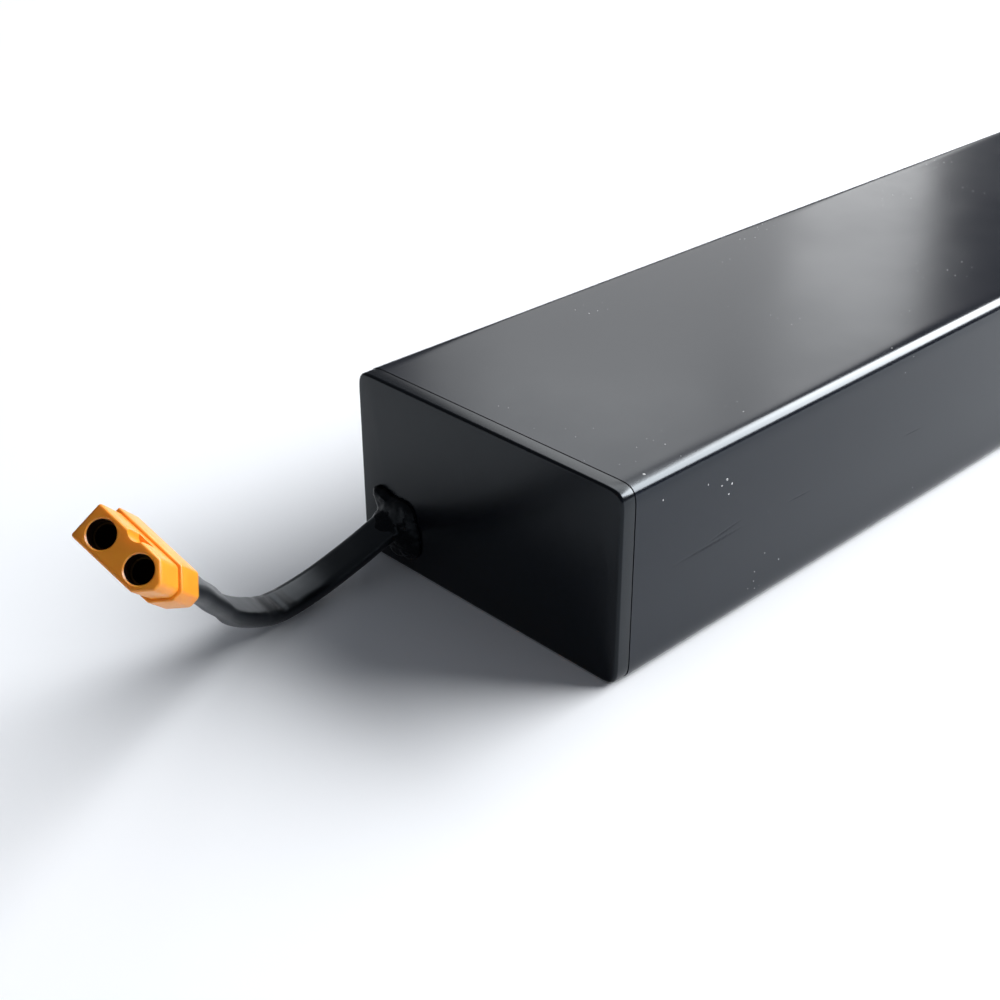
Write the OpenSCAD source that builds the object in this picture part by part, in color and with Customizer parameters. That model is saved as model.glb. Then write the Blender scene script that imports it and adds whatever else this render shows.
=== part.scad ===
// Battery pack of an electric skateboard: a black extruded aluminium case with a
// plastic cap in each end, twenty round cells in two layers across it, a protection
// board behind the front cap, and a short two-core lead with a yellow socket housing.
// X runs across the case, Y along it with the lead at -Y, Z is up.
// The origin is the middle of the underside.

/* [Cells] */
// Diameter of a sleeved cell
cell_d = 18.3; // [16:0.1:21]
// Length of a cell, over its button
cell_l = 65; // [55:0.5:72]
// Gap between neighbouring cells
cell_gap = 0.2; // [0.1:0.05:1]
// Cells side by side in one parallel group
parallel = 2; // [1:1:2]
// Groups in one layer, along the case
groups = 5; // [3:1:5]

/* [Case] */
// Wall of the extrusion
wall = 1.5; // [1:0.1:3]
// Outside radius of the long edges
edge_r = 2; // [1:0.1:4]
// Room for the protection board, along the case
bay_l = 42; // [42:0.5:60]
// Clearance round what lies in the case
lay_gap = 0.1; // [0.05:0.05:0.3]

/* [End caps] */
// Thickness of the flange that shows
flange_t = 3.5; // [2.5:0.1:6]
// How far the flange stays inside the case's outline
cap_step = 0.3; // [0.1:0.05:0.8]
// Rounding of the flange's outer edges and corners
cap_r = 1.6; // [0.8:0.1:2.2]
// Width of the groove between the flange and the case
seam_w = 0.4; // [0.2:0.1:0.8]
// Depth of that groove, below the flange's outline
seam_depth = 0.6; // [0.3:0.1:1]
// Depth of the skirt that goes into the case
skirt_l = 10; // [6:0.5:16]
// Wall of the skirt
skirt_t = 1.8; // [1.2:0.1:3]
// Gap between the skirt and the case
skirt_fit = 0.25; // [0.15:0.05:0.5]
// Stiffening ribs inside each cap
cap_ribs = 4; // [2:1:6]
// Height of the stiffening ribs
cap_rib_h = 2.5; // [1:0.5:5]

/* [Lead] */
// Diameter of one insulated core
core_d = 3.1; // [2.4:0.1:3.6]
// Thickness of the shrunk sleeve round both cores
sleeve_t = 0.25; // [0.15:0.05:0.5]
// Hole in the front cap
lead_hole_d = 8; // [7.5:0.1:10]
// Lead centre, from the case's left side
lead_x = 10; // [9:0.5:14]
// Lead centre, above the underside
lead_z = 10.2; // [9.5:0.1:14]
// Tilt of the flat lead where it leaves the cap
lead_tilt = 20; // [0:1:60]
// Radius of the sealant bead on the cap
bead_r = 7.5; // [6:0.1:8]
// Height of the sealant bead
bead_h = 4; // [2:0.1:6]

/* [Connector] */
// Distance between the two contacts
pin_pitch = 7.2; // [7:0.1:9]
// Bore of a contact
pin_bore = 3.5; // [3:0.1:3.7]
// Outside of a contact's barrel
contact_d = 4.1; // [4:0.05:4.4]
// Radial clearance of a contact in the housing
contact_fit = 0.05; // [0.02:0.01:0.1]
// Width of the part that goes into the mating half
insert_w = 14; // [13.6:0.1:18]
// Thickness of that part
insert_t = 5.9; // [5.7:0.1:8]
// Length of that part
insert_l = 7.5; // [6:0.1:10]
// Corner cut that keys the insert
key_cut = 2.3; // [1:0.1:2.6]
// How far the body stands out round the insert
body_step = 0.5; // [0.4:0.05:1.5]
// Length of the body behind the insert
body_l = 8.5; // [6:0.1:12]
// Bevel round the back of the body
back_bevel = 0.6; // [0.3:0.1:0.8]

/* [Inside] */
// Thickness of a nickel strip
strip_t = 0.15; // [0.1:0.05:0.3]
// Width of a nickel strip
strip_w = 8; // [5:0.5:12]
// Thickness of the flexible sense strip
flex_t = 0.35; // [0.2:0.05:0.6]
// Thickness of the insulating boards beside the cells
board_t = 0.3; // [0.2:0.05:1]
// Foam between the cells and the protection board
divider_t = 3; // [2:0.5:6]
// Foam behind the cells, as pressed
rear_pad_t = 2.9; // [2:0.1:6]
// Width of the protection board
pcb_w = 60; // [58:0.5:62]
// Length of the protection board
pcb_l = 34; // [34:0.5:38]
// Thickness of the protection board
pcb_t = 1.6; // [1:0.1:2]
// Foam under the protection board
pcb_pad_t = 4; // [3.5:0.5:5]

/* [Hidden] */
$fn = 64;

// Cells lie across the case, so the case takes its section from them
layers = 2;
columns = parallel * groups;
pitch = cell_d + cell_gap;
block_l = (columns - 1) * pitch + cell_d;
inner_w = cell_l + 2 * (strip_t + flex_t + board_t) + 4 * lay_gap;
bore_r = max(edge_r - wall, 0.4);
inner_h = pitch * (layers - 1) + cell_d + 2 * lay_gap;
case_w = inner_w + 2 * wall;
case_h = inner_h + 2 * wall;

// Places along the case, from the front face back
tube_l = 2 * skirt_l + bay_l + divider_t + block_l + rear_pad_t + 3 * lay_gap;
case_l = tube_l + 2 * flange_t;
front_y = -case_l / 2;
bay_y = front_y + flange_t + skirt_l;
divider_y = bay_y + bay_l;
cells_y = divider_y + divider_t + lay_gap;
rear_pad_y = cells_y + block_l + lay_gap;
floor_z = wall + lay_gap;
mid_z = case_h / 2;

// Skirt and ribs of a cap
skirt_w = inner_w - 2 * skirt_fit;
skirt_h = inner_h - 2 * skirt_fit;
skirt_r = 0.8;
crush_r = 0.6;
crush_gap = 0.03;
cap_rib_t = 1.2;
cap_rib_shift = 3;

// The lead at the front face, and the two cores side by side in it
core_pitch = core_d + 0.05;
sleeve_w = core_pitch + core_d + 2 * sleeve_t;
sleeve_h = core_d + 2 * sleeve_t;
exit = [lead_x - case_w / 2, front_y, lead_z];
seal_gap = 0.05;
mouth_gap = 0.4;
// Lumps in the sealant bead: place on the cap and radius
bead_lumps = [[4.2, -4.6, -2, 4.6], [-1.5, 3.5, -1.5, 4.8]];

// Route of the lead from the exit, in steps chosen by hand: down to the surface that
// the battery stands on, then up in one stiff sweep to the back of the connector
lead_steps = [
    [0, 0, 0], [-1, -10, -4], [-1.5, -20, -7], [0.5, -31, -6.5], [4, -39.5, -2], [9, -47, 4.5],
    [15, -52.5, 11.5], [21, -58, 18], [27, -63.5, 25], [33, -69.5, 32], [38.3, -75.1, 38.4]
];
lead_end = lead_steps[len(lead_steps) - 1];
// How the connector is held: turned about Z, tipped up, rolled about its own length
plug_turn = -51;
plug_tip = 39.5;
plug_roll = -37.5;
ring_steps = 2;
ring_sides = 12;
flare_rings = 3;

// Connector section, measured from the middle between the contacts
plug_l = body_l + insert_l;
insert_side = (insert_w - pin_pitch) / 2 - 0.2;
key_side = insert_w - pin_pitch - insert_side;
insert_low = -pin_pitch / 2 - insert_side;
insert_high = pin_pitch / 2 + key_side;
groove_r = 1.7;
groove_depth = 1.2;
lip = 0.3;
collar_d = contact_d + 0.5;
collar_l = 5;
contact_inset = 2.5;
pin_bore_l = 9.5;
cup_d = 3.2;
cup_l = 3;

// Cell ends
cap_face_r = 4;
ring_face_r = 4.6;
rim_inner_r = 6.2;
rim_drop = 0.25;
end_drop = 0.9;
crimp_z = 3.2;
crimp_w = 1.6;
crimp_depth = 0.5;
bottom_r = 0.7;

// Nickel strips and sense strips
slot_w = 0.8;
slot_l = 4.5;
tab_l = 8;
spine_w = 5;
branch_w = 3;
sense_pad_r = 2.4;
tail_l = 16;
tail_h = 15;
board_slack = 2;

// Protection board and what stands on it
pcb_y = bay_y + 1;
pcb_z = floor_z + pcb_pad_t + lay_gap;
pcb_top = pcb_z + pcb_t;
fet_count = 6;
fet_pitch = 7;
fet_w = 6.5;
fet_l = 6.1;
fet_h = 2.3;
fet_tab = [5.2, 1.2, 0.5];
fet_leg = [0.8, 2, 0.6];
fet_leg_x = 2.3;
fet_x = -14;
fet_y = pcb_y + pcb_l - 10;
plate_t = 2;
chip = [4, 5, 1.5];
chip_pitch = 6;
chip_count = 4;
shunt = [6.3, 3.2, 0.8];
shunt_pitch = 8;
bleed = [1.6, 3.2, 0.6];
bleed_pitch = 3.4;
bleed_count = 5;
chips_in = 14;
chips_x = chips_in - pcb_w / 2;
chips_y = pcb_y + pcb_l / 2 - 3;
shunt_gap = 4;
bleed_shift = [-1, -8];
// Pads for the power wires, in line with the lead where it comes through the cap
pad_shift = 2;
pad_pitch = 12;
pad_bend = 4;
pad_l = 8;
output_pad = [exit.x + pad_shift, pcb_y + 6];
battery_pad = [exit.x, output_pad.y + pad_pitch];
// Length of a power wire on its terminal, and how far the wires run in before they bend
on_tab = 3;
positive_in = 4;
negative_in = -2;
header_pins = layers * groups + 1;
header_pitch = 2.5;
header_w = header_pins * header_pitch + 1.9;
header_l = 5.8;
header_h = 7;
header_wall = 0.7;
header_notch = 8;
header_x = pcb_w / 2 - header_w / 2 - 0.5;
header_y = pcb_y + header_l / 2 + 1;
plug_top = 9.5;
crimp_slot = [1.2, 1.6, 4];
sense_d = 0.8;
sense_first = 1.2;
sense_rise = 1.25;

function numbered(name, i) = str(name, i < 10 ? "_0" : "_", i);

// Which group a place holds: the string runs back along the bottom and forward along the top
function group_at(place, layer) = layer == 0 ? place : layers * groups - 1 - place;
function layer_of(group) = group < groups ? 0 : 1;
function place_of(group) = layer_of(group) == 0 ? group : layers * groups - 1 - group;
function column_y(column) = cells_y + cell_d / 2 + column * pitch;
function layer_z(layer) = floor_z + cell_d / 2 + layer * pitch;

// Rectangle with round corners, centred
module round_rect(w, h, r) {
    square([w - 2 * r, h], center = true);
    square([w, h - 2 * r], center = true);
    for (x = [-1, 1], y = [-1, 1])
        translate([x * (w / 2 - r), y * (h / 2 - r)]) circle(r);
}

// Slab whose four corners, four long edges and end face are all rounded by r
module pillow(w, h, t, r) {
    linear_extrude(t - r) round_rect(w, h, r);
    linear_extrude(t) square([w - 2 * r, h - 2 * r], center = true);
    for (x = [-1, 1]) translate([x * (w / 2 - r), 0, t - r]) {
        rotate([90, 0, 0]) cylinder(h = h - 2 * r, r = r, center = true);
        for (y = [-1, 1]) translate([0, y * (h / 2 - r), 0]) sphere(r);
    }
    for (y = [-1, 1]) translate([0, y * (h / 2 - r), t - r])
        rotate([0, 90, 0]) cylinder(h = w - 2 * r, r = r, center = true);
}

// Round wire along straight stretches, with a slightly larger ball at each turn
module wire(points, d) {
    for (i = [0 : len(points) - 2]) {
        step = points[i + 1] - points[i];
        length = norm(step);
        translate(points[i])
            rotate([0, acos(step.z / length), atan2(step.y, step.x)])
                cylinder(h = length, d = d, $fn = 24);
    }
    if (len(points) > 2)
        for (i = [1 : len(points) - 2]) translate(points[i]) sphere(d = d * 1.02, $fn = 24);
}

// Aluminium extrusion, anodised black, cut to length
module case_tube() {
    color([0.10, 0.10, 0.11]) translate([0, 0, mid_z]) rotate([90, 0, 0])
        linear_extrude(tube_l, center = true) difference() {
            round_rect(case_w, case_h, edge_r);
            round_rect(inner_w, inner_h, bore_r);
        }
}

// Moulded plug: the flange covers the end of the case, the skirt goes inside it
module end_cap() {
    flange_w = case_w - 2 * cap_step;
    flange_h = case_h - 2 * cap_step;
    translate([0, 0, seam_w]) pillow(flange_w, flange_h, flange_t - seam_w, cap_r);
    linear_extrude(flange_t / 2)
        round_rect(flange_w - 2 * seam_depth, flange_h - 2 * seam_depth, cap_r);
    translate([0, 0, -skirt_l]) linear_extrude(skirt_l) difference() {
        round_rect(skirt_w, skirt_h, skirt_r);
        square([skirt_w - 2 * skirt_t, skirt_h - 2 * skirt_t], center = true);
    }
    crush_out = skirt_fit - crush_gap - crush_r;
    for (side = [-1, 1]) {
        for (x = [-1, 0, 1])
            translate([x * skirt_w / 3, side * (skirt_h / 2 + crush_out), -skirt_l + 1])
                cylinder(h = skirt_l - 1, r = crush_r);
        for (y = [-1, 1])
            translate([side * (skirt_w / 2 + crush_out), y * skirt_h / 4, -skirt_l + 1])
                cylinder(h = skirt_l - 1, r = crush_r);
    }
    rib_span = skirt_w - 2 * skirt_t - 2 * lead_x;
    for (i = [0 : cap_ribs - 1])
        translate([rib_span * (i / (cap_ribs - 1) - 0.5) + cap_rib_shift, 0, -cap_rib_h / 2])
            cube([cap_rib_t, skirt_h - skirt_t, cap_rib_h], center = true);
}

// Front cap, drilled low in one corner for the lead
module front_cap() {
    color([0.06, 0.06, 0.065]) translate([0, -tube_l / 2, mid_z]) rotate([90, 0, 0])
        difference() {
            end_cap();
            translate([exit.x, lead_z - mid_z, -1])
                cylinder(h = flange_t + 2, d = lead_hole_d);
        }
}

// Rear cap, plain
module rear_cap() {
    color([0.06, 0.06, 0.065]) translate([0, tube_l / 2, mid_z]) rotate([90, 0, 180]) end_cap();
}

// Outline of the two sleeved cores, as cut out of the sealant
module lead_outline(extra) {
    r = sleeve_h / 2 + extra;
    square([core_pitch, 2 * r], center = true);
    for (x = [-1, 1]) translate([x * core_pitch / 2, 0]) circle(r);
}

// Black sealant: it fills the hole round the lead and stands in a lumpy bead on the cap
module cable_sealant() {
    ball_r = (bead_r * bead_r + bead_h * bead_h) / (2 * bead_h);
    color([0.03, 0.03, 0.035]) translate(exit) rotate([90, 0, 0]) difference() {
        union() {
            difference() {
                union() {
                    translate([0, 0, bead_h - ball_r]) sphere(ball_r);
                    for (lump = bead_lumps) translate([lump.x, lump.y, lump.z]) sphere(lump[3]);
                }
                translate([0, 0, -2 * ball_r]) cube(4 * ball_r, center = true);
            }
            translate([0, 0, -flange_t])
                cylinder(h = flange_t + bead_h / 4, d = lead_hole_d - 2 * seal_gap);
        }
        translate([0, 0, -flange_t - 1]) rotate([0, 0, -lead_tilt])
            linear_extrude(flange_t + 2) lead_outline(2 * seal_gap);
        rotate([asin(-lead_start.z), asin(lead_start.x), 0]) rotate([0, 0, -lead_tilt])
            translate([0, 0, -mouth_gap]) linear_extrude(bead_h + 8) lead_outline(mouth_gap);
    }
}

// Lead: smooth curve through the route's points, with a flat oval ring at each step
function spline(a, b, c, d, t) = 0.5 * (2 * b + (c - a) * t
    + (2 * a - 5 * b + 4 * c - d) * t * t + (3 * b - a - 3 * c + d) * t * t * t);
plug_axis = [cos(plug_tip) * cos(plug_turn), cos(plug_tip) * sin(plug_turn), sin(plug_tip)];
plug_side = [-sin(plug_turn) * cos(plug_roll) - cos(plug_turn) * sin(plug_tip) * sin(plug_roll),
    cos(plug_turn) * cos(plug_roll) - sin(plug_turn) * sin(plug_tip) * sin(plug_roll),
    cos(plug_tip) * sin(plug_roll)];
route = concat([[0, 8, 0]], lead_steps, [lead_end + 10 * plug_axis]);
lead_path = concat(
    [for (i = [1 : len(route) - 3], k = [0 : ring_steps - 1])
        spline(route[i - 1], route[i], route[i + 1], route[i + 2], k / ring_steps)],
    [lead_end]);
last_ring = len(lead_path) - 1;
function unit(v) = v / norm(v);
plug_back = exit + lead_end + seal_gap * plug_axis;
lead_start = unit(lead_path[1] - lead_path[0]);
function lead_dir(i) = i == 0 ? [0, -1, 0] : i == last_ring ? plug_axis
    : unit(lead_path[i + 1] - lead_path[i - 1]);
// The flat side turns evenly from the tilt at the exit to the connector's roll
function flat_dir(i) = let (
    t = i / last_ring,
    mixed = (1 - t) * [cos(lead_tilt), 0, -sin(lead_tilt)] + t * plug_side,
    along = lead_dir(i))
    unit(mixed - (mixed * along) * along);
// The cores spread apart just before the connector
function spread(i) = core_pitch / 2 + (pin_pitch - core_pitch) / 2
    * max(0, (i - last_ring + flare_rings) / flare_rings);
function lead_ring(i) = let (side = flat_dir(i), up = cross(lead_dir(i), side), r = sleeve_h / 2)
    [for (k = [0 : ring_sides - 1]) let (a = 360 * (k + 0.5) / ring_sides)
        exit + lead_path[i] + (sign(cos(a)) * spread(i) + r * cos(a)) * side + r * sin(a) * up];

// Two cores in one black shrunk sleeve, from the cap to the connector
module output_lead() {
    points = [for (i = [0 : last_ring]) each lead_ring(i)];
    skin = [for (i = [0 : last_ring - 1], k = [0 : ring_sides - 1])
        let (n = (k + 1) % ring_sides, a = i * ring_sides, b = a + ring_sides)
            each [[a + k, b + k, b + n], [a + k, b + n, a + n]]];
    front = [for (k = [0 : ring_sides - 1]) k];
    back = [for (k = [ring_sides - 1 : -1 : 0]) last_ring * ring_sides + k];
    color([0.05, 0.05, 0.055]) polyhedron(points, concat(skin, [front, back]));
}

// Puts a shape made along +X from the connector's back where the connector is held
module at_plug() {
    translate(plug_back) rotate([plug_roll, -plug_tip, plug_turn]) children();
}

// Keyed outline of the connector: two square corners and two cut ones
module keyed_outline(extra, cut) {
    low = insert_low - extra;
    high = insert_high + extra;
    half = insert_t / 2 + extra;
    polygon([[low, -half], [high - cut, -half], [high, cut - half], [high, half - cut],
        [high - cut, half], [low, half]]);
}

// Extrudes an outline drawn in Y and Z along +X, from x
module along_x(x, length) {
    translate([x, 0, 0]) rotate([90, 0, 90]) linear_extrude(length) children();
}

// Moulded nylon socket housing: keyed insert in front, stepped body with a bevelled
// back, a shallow groove on both broad sides, and two bores with a seat for the contacts
module connector_housing() {
    front_bore = contact_d + 2 * contact_fit;
    seat_bore = collar_d + 2 * contact_fit;
    color([0.95, 0.62, 0.12]) at_plug() difference() {
        union() {
            along_x(0, plug_l) keyed_outline(0, key_cut);
            along_x(back_bevel, body_l - back_bevel) keyed_outline(body_step, key_cut + body_step / 2);
            along_x(0, body_l) keyed_outline(body_step - back_bevel / 2, key_cut + body_step / 2);
        }
        for (side = [-1, 1])
            translate([body_l + 0.8, 0, side * (insert_t / 2 + groove_r - groove_depth)])
                rotate([0, 90, 0]) cylinder(h = insert_l, r = groove_r);
        for (side = [-1, 1]) translate([0, side * pin_pitch / 2, 0]) rotate([0, 90, 0]) {
            translate([0, 0, -1]) cylinder(h = plug_l + 2, d = front_bore);
            translate([0, 0, plug_l - lip])
                cylinder(h = 2 * lip, d1 = front_bore, d2 = front_bore + 4 * lip);
            translate([0, 0, -1]) cylinder(h = collar_l + 1, d = seat_bore);
        }
    }
}

// Gold-plated contact: barrel with the bore for the mating pin, collar, solder cup
module contact(side) {
    barrel_end = plug_l - contact_inset;
    color([0.85, 0.68, 0.30]) at_plug() translate([0, side * pin_pitch / 2, 0])
        rotate([0, 90, 0]) difference() {
            union() {
                cylinder(h = barrel_end, d = contact_d);
                cylinder(h = collar_l, d = collar_d);
            }
            translate([0, 0, barrel_end - pin_bore_l]) cylinder(h = pin_bore_l + 1, d = pin_bore);
            translate([0, 0, -1]) cylinder(h = cup_l + 1, d = cup_d);
        }
}

// One sleeved cell along X: flat negative end, crimped shoulder, rim and raised button
module cell(index) {
    layer = floor((index - 1) / columns);
    column = (index - 1) % columns;
    group = group_at(floor(column / parallel), layer);
    r = cell_d / 2;
    top = cell_l / 2;
    crimp = top - crimp_z;
    color(group % 2 == 0 ? [0.16, 0.45, 0.62] : [0.20, 0.52, 0.70])
        translate([0, column_y(column), layer_z(layer)])
            rotate([0, group % 2 == 0 ? 90 : -90, 0]) rotate_extrude() polygon([
                [0, -top], [r - bottom_r, -top], [r, bottom_r - top],
                [r, crimp - crimp_w / 2], [r - crimp_depth, crimp], [r, crimp + crimp_w / 2],
                [r, top - rim_drop - bottom_r], [r - bottom_r, top - rim_drop],
                [rim_inner_r, top - rim_drop], [rim_inner_r, top - end_drop],
                [ring_face_r, top - end_drop], [cap_face_r, top], [0, top]
            ]);
}

// Places a flat shape drawn in Y and Z against the cell ends on one side
module at_side(side, gap, t) {
    face = cell_l / 2 + gap;
    translate([side > 0 ? face : -face - t, 0, 0]) rotate([90, 0, 90]) linear_extrude(t) children();
}

// Nickel over the cells from one place to another, slotted for the welds
module strip_outline(first, last, low, high, tab) {
    y0 = column_y(first) - strip_w / 2 - tab;
    y1 = column_y(last) + strip_w / 2;
    z0 = layer_z(low) - strip_w / 2;
    z1 = layer_z(high) + strip_w / 2;
    difference() {
        translate([(y0 + y1) / 2, (z0 + z1) / 2]) round_rect(y1 - y0, z1 - z0, 1);
        for (c = [first : last], l = [low : high])
            translate([column_y(c), layer_z(l)]) square([slot_l, slot_w], center = true);
        if (high > low && last > first)
            translate([(column_y(first) + column_y(last)) / 2, (z0 + z1) / 2])
                round_rect(pitch * (last - first) - strip_w, pitch - strip_w, 1);
    }
}

// Strip that joins group number index to the next one in the string
module link(index) {
    from = index - 1;
    side = from % 2 == 0 ? 1 : -1;
    places = [place_of(from), place_of(from + 1)];
    color([0.75, 0.74, 0.70]) at_side(side, 0, strip_t)
        strip_outline(min(places) * parallel, max(places) * parallel + parallel - 1,
            layer_of(from), layer_of(from + 1), 0);
}

// Strip with a tab towards the board, at one end of the string
module terminal(layer) {
    color([0.75, 0.74, 0.70]) at_side(layers * groups % 2 == 0 ? -1 : 1, 0, strip_t)
        strip_outline(0, parallel - 1, layer, layer, tab_l);
}

// Insulating board between the strips and the case
module insulator(side) {
    color([0.55, 0.62, 0.60]) at_side(side, strip_t + flex_t + 1.5 * lay_gap, board_t)
        translate([cells_y + block_l / 2 - divider_t / 2, mid_z])
            round_rect(block_l + divider_t + board_slack, inner_h - 2 * bore_r - 2 * lay_gap, 2);
}

// Thin flexible strip that brings each link's voltage to the board
module sense_strip(side) {
    first_y = divider_y - tail_l;
    last_y = column_y(columns - 1);
    color([0.75, 0.50, 0.20]) at_side(side, strip_t + lay_gap / 2, flex_t) {
        translate([first_y, mid_z - spine_w / 2]) square([last_y - first_y, spine_w]);
        translate([first_y, mid_z - tail_h / 2]) square([spine_w, tail_h]);
        for (place = [0 : groups - 1], layer = [0, 1]) {
            y = column_y(place * parallel);
            translate([y - branch_w / 2, min(layer_z(layer), mid_z)])
                square([branch_w, abs(layer_z(layer) - mid_z)]);
            translate([y, layer_z(layer)]) circle(sense_pad_r);
        }
    }
}

// Foam slab across the case, from y
module foam(y, t) {
    color([0.20, 0.20, 0.21]) translate([0, y + t / 2, mid_z])
        cube([cell_l - 4 * lay_gap, t, inner_h - 2 * lay_gap], center = true);
}

module divider_pad() { foam(divider_y, divider_t); }

module rear_pad() { foam(rear_pad_y, rear_pad_t); }

// Foam that the protection board lies on
module bms_pad() {
    color([0.22, 0.22, 0.23]) translate([-pcb_w / 2 + 2, pcb_y + 2, floor_z])
        cube([pcb_w - 4, pcb_l - 4, pcb_pad_t]);
}

// Protection board, with a mounting hole in each corner
module bms_board() {
    color([0.05, 0.30, 0.16]) translate([0, pcb_y + pcb_l / 2, pcb_z]) linear_extrude(pcb_t)
        difference() {
            round_rect(pcb_w, pcb_l, 1);
            for (x = [-1, 1]) translate([x * (pcb_w / 2 - 2.5), pcb_l / 2 - 2.5]) circle(1.2);
        }
}

// Row of power transistors: moulded body, drain tab behind, two legs in front
module bms_mosfets() {
    color([0.12, 0.12, 0.13]) for (i = [0 : fet_count - 1])
        translate([fet_x + i * fet_pitch, fet_y, pcb_top]) {
            translate([0, 0, fet_h / 2]) cube([fet_w, fet_l, fet_h], center = true);
            translate([0, (fet_l + fet_tab.y) / 2, fet_tab.z / 2]) cube(fet_tab, center = true);
            for (x = [-1, 1])
                translate([x * fet_leg_x, -(fet_l + fet_leg.y) / 2, fet_leg.z / 2])
                    cube(fet_leg, center = true);
        }
}

// Aluminium plate over the transistors, with cooling grooves
module bms_heat_plate() {
    plate_w = (fet_count - 1) * fet_pitch + fet_w + 2;
    color([0.70, 0.70, 0.72]) translate([fet_x + (fet_count - 1) * fet_pitch / 2, fet_y,
        pcb_top + fet_h]) difference() {
            translate([0, 0, plate_t / 2]) cube([plate_w, fet_l + 2, plate_t], center = true);
            for (i = [-1, 0, 1]) translate([0, i * 2.2, plate_t])
                cube([plate_w + 2, 0.8, 1], center = true);
        }
}

// Row of like parts on the board, from x to the right along y
module board_row(size, count, step, x, y) {
    for (i = [0 : count - 1])
        translate([x + i * step, y, pcb_top + size.z / 2]) cube(size, center = true);
}

// Monitor chips, current sense resistors beside them, and a row of bleed resistors
module bms_chips() {
    shunt_x = chips_x + chip_count * chip_pitch + shunt_gap;
    color([0.10, 0.10, 0.11]) board_row(chip, chip_count, chip_pitch, chips_x, chips_y);
    color([0.30, 0.30, 0.32]) board_row(shunt, 2, shunt_pitch, shunt_x, chips_y);
    color([0.08, 0.08, 0.09])
        board_row(bleed, bleed_count, bleed_pitch, chips_x + bleed_shift.x, chips_y + bleed_shift.y);
}

// Header with a pin for every voltage in the string, open at the top
module balance_header() {
    color([0.92, 0.92, 0.88]) translate([header_x, header_y, pcb_top]) difference() {
        translate([0, 0, header_h / 2]) cube([header_w, header_l, header_h], center = true);
        translate([0, 0, header_h / 2 + header_wall]) cube([header_w - 2 * header_wall,
            header_l - 2 * header_wall, header_h], center = true);
        translate([0, -header_l / 2, header_h])
            cube([header_w - header_notch, 3 * header_wall, header_h], center = true);
    }
}

// Plug in the header, with a slot over each crimped wire
module balance_plug() {
    plug_w = header_w - 2 * header_wall - 2 * lay_gap;
    plug_depth = header_l - 2 * header_wall - 2 * lay_gap;
    color([0.95, 0.95, 0.92])
        translate([header_x, header_y, pcb_top + header_wall + lay_gap]) difference() {
            translate([0, 0, plug_top / 2]) cube([plug_w, plug_depth, plug_top], center = true);
            for (i = [0 : header_pins - 1])
                translate([(i - (header_pins - 1) / 2) * header_pitch, -plug_depth / 2, plug_top])
                    cube(crimp_slot, center = true);
        }
}

// Thin wires from the plug to the tails of the sense strips
module balance_wires() {
    start_z = pcb_top + header_wall + lay_gap + plug_top + 0.05;
    tail_y = divider_y - tail_l + spine_w / 2;
    reach = cell_l / 2 - lay_gap - sense_d / 2;
    color([0.75, 0.12, 0.10]) for (i = [0 : header_pins - 1]) {
        right = i > (header_pins - 1) / 2 - 1;
        x = header_x + (i - (header_pins - 1) / 2) * header_pitch;
        z = mid_z - tail_h / 2 + sense_first + i * sense_rise;
        high = max(z, start_z + sense_d);
        wire([[x, header_y, start_z], [x, header_y, high], [right ? reach : -reach, tail_y, z]],
            sense_d);
    }
}

// Positive core: in through the cap and up to the upper terminal
module lead_positive() {
    start = exit - core_pitch / 2 * [cos(lead_tilt), 0, -sin(lead_tilt)];
    tab_x = -cell_l / 2 + core_d / 2 + seal_gap;
    color([0.70, 0.08, 0.08]) wire([
        start, [start.x, bay_y + positive_in, start.z],
        [tab_x, divider_y - tab_l, layer_z(1)], [tab_x, divider_y - on_tab, layer_z(1)]
    ], core_d);
}

// Negative core: in through the cap and along the board to its output pad
module lead_negative() {
    start = exit + core_pitch / 2 * [cos(lead_tilt), 0, -sin(lead_tilt)];
    pad_z = pcb_top + core_d / 2 + seal_gap;
    color([0.06, 0.06, 0.06]) wire([
        start, [start.x, bay_y + negative_in, start.z], [output_pad.x, output_pad.y, pad_z],
        [output_pad.x, output_pad.y + pad_l, pad_z]
    ], core_d);
}

// Wire from the lower terminal to the board's battery pad
module lead_pack_negative() {
    tab_x = -cell_l / 2 + core_d / 2 + seal_gap;
    pad_z = pcb_top + core_d / 2 + seal_gap;
    color([0.06, 0.06, 0.06]) wire([
        [tab_x, divider_y - on_tab, layer_z(0)],
        [battery_pad.x, battery_pad.y + pad_bend, pad_z], [battery_pad.x, battery_pad.y, pad_z]
    ], core_d);
}

case_tube();
front_cap();
rear_cap();
cable_sealant();
output_lead();
connector_housing();
contact(-1);  // contact_positive
contact(1);  // contact_negative
for (i = [1 : layers * columns])
    cell(i);
for (i = [1 : layers * groups - 1])
    link(i);
terminal(1);  // terminal_positive
terminal(0);  // terminal_negative
insulator(-1);  // insulator_left
insulator(1);  // insulator_right
sense_strip(-1);  // sense_strip_left
sense_strip(1);  // sense_strip_right
divider_pad();
rear_pad();
bms_pad();
bms_board();
bms_mosfets();
bms_heat_plate();
bms_chips();
balance_header();
balance_plug();
balance_wires();
lead_positive();
lead_negative();
lead_pack_negative();
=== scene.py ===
from math import cos, exp, pi, radians, sin, tan, tanh

import bpy
from mathutils import Euler, Matrix, Vector


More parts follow.
